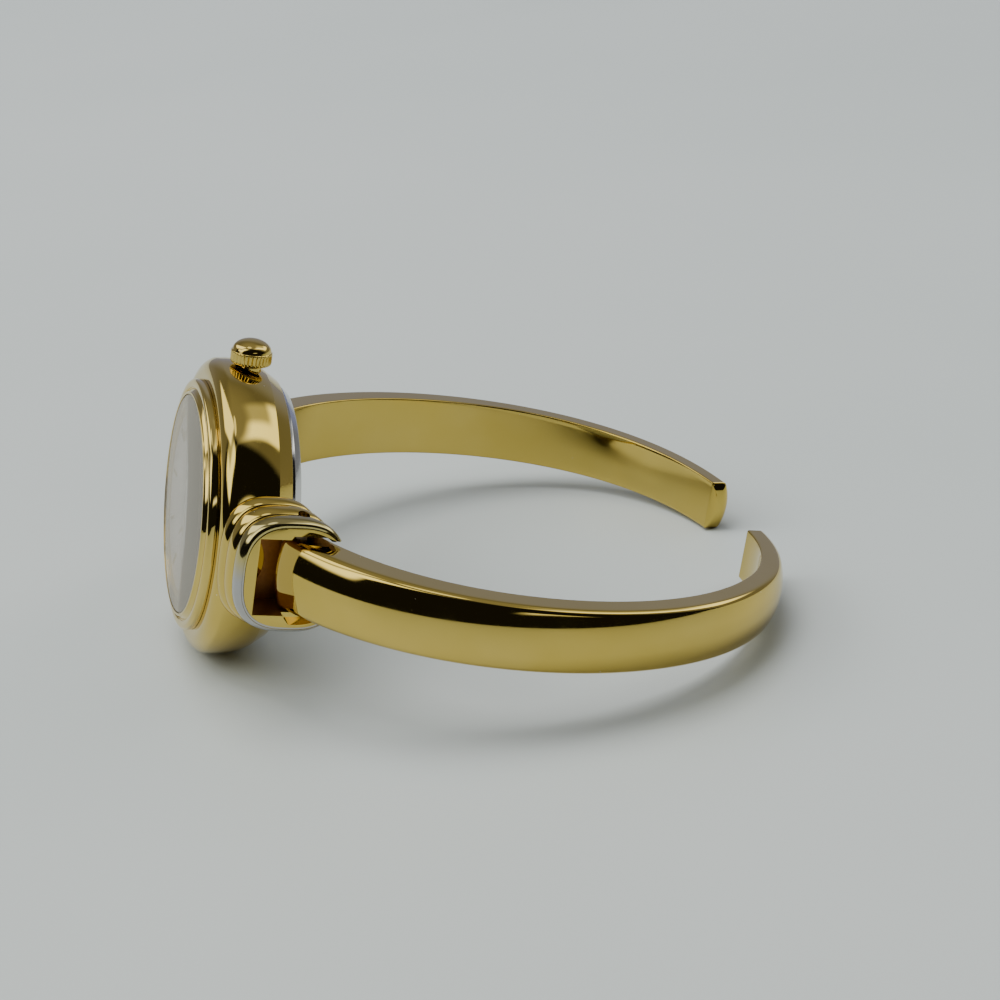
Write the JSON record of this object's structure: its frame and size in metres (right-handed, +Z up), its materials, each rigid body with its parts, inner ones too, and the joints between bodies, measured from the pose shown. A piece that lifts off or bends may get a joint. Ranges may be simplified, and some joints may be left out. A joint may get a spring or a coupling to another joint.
{
  "type": "cuff watch",
  "caption": "Gold-plated lady's cuff watch: a round watch head between two spring-hinged half-bangle arms that meet in an open cuff, with a pull-out crown.",
  "frame": {"origin": "middle of the footprint of the whole watch as it stands, on the surface it stands on", "axes": "+Z up; +X from the watch head towards the tips of the arms; +Y towards the twelve o'clock arm; the crown points up and a little towards +X"},
  "size_m": [0.0556, 0.0574, 0.028],
  "materials": {
    "gold_case": "mirror-polished pale yellow gold plating",
    "gold_arm": "mirror-polished pale yellow gold plating with fine wear",
    "gold_bright": "polished yellow gold plating",
    "silver_rib": "polished silver-toned metal",
    "back_steel": "silver-toned polished steel",
    "pin_steel": "dull steel",
    "spring_steel": "tempered spring steel",
    "work_steel": "ground steel",
    "mineral_glass": "polished clear glass",
    "pearl_dial": "soft milky pearl sheen",
    "gasket_white": "translucent white nylon",
    "rubber_black": "matt black rubber",
    "ring_plastic": "moulded white plastic",
    "plate_brass": "fine-blasted brass",
    "bridge_nickel": "grained nickel plating",
    "wheel_brass": "gilt brass",
    "screw_blue": "polished blued steel",
    "magnet_dark": "dark sintered magnet",
    "stator_steel": "annealed soft iron sheet",
    "copper_wire": "enamelled copper winding",
    "board_green": "green solder mask",
    "chip_black": "moulded black resin",
    "battery_steel": "satin nickel-plated steel"
  },
  "bodies": {
    "watch_head": {"case_body": "gold_case", "bezel": "gold_bright", "crystal": "mineral_glass", "crystal_gasket": "gasket_white", "caseback": "back_steel", "caseback_gasket": "rubber_black", "lug_hood_six": "gold_case", "lug_hood_twelve": "gold_case", "accent_ring_six": "silver_rib", "accent_ring_twelve": "silver_rib", "hinge_pin_six": "pin_steel", "hinge_pin_twelve": "pin_steel", "hinge_spring_six": "spring_steel", "hinge_spring_twelve": "spring_steel", "crown_tube": "gold_case", "movement_ring": "ring_plastic", "main_plate": "plate_brass", "train_bridge": "bridge_nickel", "movement_screws": "screw_blue", "dial": "pearl_dial", "hour_markers": "gold_bright", "stator": "stator_steel", "coil": "copper_wire", "coil_core": "stator_steel", "circuit_board": "board_green", "circuit_chip": "chip_black", "quartz_can": "battery_steel", "battery": "battery_steel", "battery_clamp": "work_steel"},
    "six_arm": {"arm_six": "gold_arm", "arm_cap_six": "gold_arm"},
    "twelve_arm": {"arm_twelve": "gold_arm", "arm_cap_twelve": "gold_arm"},
    "crown_slider": {"crown_gasket": "rubber_black"},
    "crown_knob": {"crown": "gold_bright", "winding_stem": "work_steel"},
    "clutch": {"sliding_pinion": "work_steel"},
    "setting_lever": {"setting_lever": "work_steel"},
    "yoke": {"yoke": "work_steel"},
    "minute_work": {"minute_hand": "gold_bright", "cannon_pinion": "work_steel", "centre_wheel": "wheel_brass"},
    "hour_work": {"hour_hand": "gold_bright", "hour_wheel": "wheel_brass"},
    "minute_wheel": {"minute_wheel": "wheel_brass"},
    "setting_wheel": {"setting_wheel": "wheel_brass"},
    "intermediate_wheel": {"intermediate_wheel": "wheel_brass"},
    "rotor": {"rotor": "magnet_dark"}
  },
  "joints": [
    {"name": "six_arm_hinge", "type": "hinge", "parent": "watch_head", "child": "six_arm", "pos_m": [-0.01839, -0.015, 0.01213], "axis": [-0.2084, 0, -0.9781], "range_deg": [0, 30], "stiffness_Nm_per_rad": 0.06, "springref_deg": -5.73},
    {"name": "twelve_arm_hinge", "type": "hinge", "parent": "watch_head", "child": "twelve_arm", "pos_m": [-0.01839, 0.015, 0.01213], "axis": [0.2084, 0, 0.9781], "range_deg": [0, 30], "stiffness_Nm_per_rad": 0.06, "springref_deg": -5.73},
    {"name": "crown_pull", "type": "slide", "parent": "watch_head", "child": "crown_slider", "axis": [0.2084, 0, 0.9781], "range_m": [0, 0.0009]},
    {"name": "crown_turn", "type": "hinge", "parent": "crown_slider", "child": "crown_knob", "pos_m": [-0.02121, 0, 0.01273], "axis": [0.2084, 0, 0.9781], "continuous": true},
    {"name": "clutch_shift", "type": "slide", "parent": "crown_knob", "child": "clutch", "axis": [-0.2084, 0, -0.9781], "range_m": [0, 0.00151]},
    {"name": "setting_lever_swing", "type": "hinge", "parent": "watch_head", "child": "setting_lever", "pos_m": [-0.02058, 0.0022, 0.01993], "axis": [-0.9781, 0, 0.2084], "range_deg": [0, 25.86]},
    {"name": "yoke_swing", "type": "hinge", "parent": "watch_head", "child": "yoke", "pos_m": [-0.02097, -0.003, 0.01807], "axis": [-0.9781, 0, 0.2084], "range_deg": [0, 13.92]},
    {"name": "minute_turn", "type": "hinge", "parent": "watch_head", "child": "minute_work", "pos_m": [-0.02207, 0, 0.01291], "axis": [0.9781, 0, -0.2084], "continuous": true},
    {"name": "hour_turn", "type": "hinge", "parent": "watch_head", "child": "hour_work", "pos_m": [-0.02207, 0, 0.01291], "axis": [0.9781, 0, -0.2084], "continuous": true},
    {"name": "minute_wheel_turn", "type": "hinge", "parent": "watch_head", "child": "minute_wheel", "pos_m": [-0.02176, 0.00187, 0.01438], "axis": [0.9781, 0, -0.2084], "continuous": true},
    {"name": "setting_wheel_turn", "type": "hinge", "parent": "watch_head", "child": "setting_wheel", "pos_m": [-0.02138, 0, 0.01614], "axis": [0.9781, 0, -0.2084], "continuous": true},
    {"name": "intermediate_turn", "type": "hinge", "parent": "watch_head", "child": "intermediate_wheel", "pos_m": [-0.02224, 0.00223, 0.01212], "axis": [0.9781, 0, -0.2084], "continuous": true},
    {"name": "rotor_turn", "type": "hinge", "parent": "watch_head", "child": "rotor", "pos_m": [-0.02258, 0.00318, 0.01052], "axis": [0.9781, 0, -0.2084], "continuous": true}
  ],
  "couplings": [
    {"joint": "clutch_shift", "follows": "crown_pull", "ratio": 1.6667},
    {"joint": "setting_lever_swing", "follows": "crown_pull", "rad_per_m": 491.81},
    {"joint": "yoke_swing", "follows": "crown_pull", "rad_per_m": 260.24},
    {"joint": "hour_turn", "follows": "minute_turn", "ratio": 0.083333},
    {"joint": "minute_wheel_turn", "follows": "minute_turn", "ratio": -0.33333},
    {"joint": "setting_wheel_turn", "follows": "minute_turn", "ratio": 0.75},
    {"joint": "intermediate_turn", "follows": "minute_turn", "ratio": -7.5},
    {"joint": "rotor_turn", "follows": "minute_turn", "ratio": 60}
  ]
}
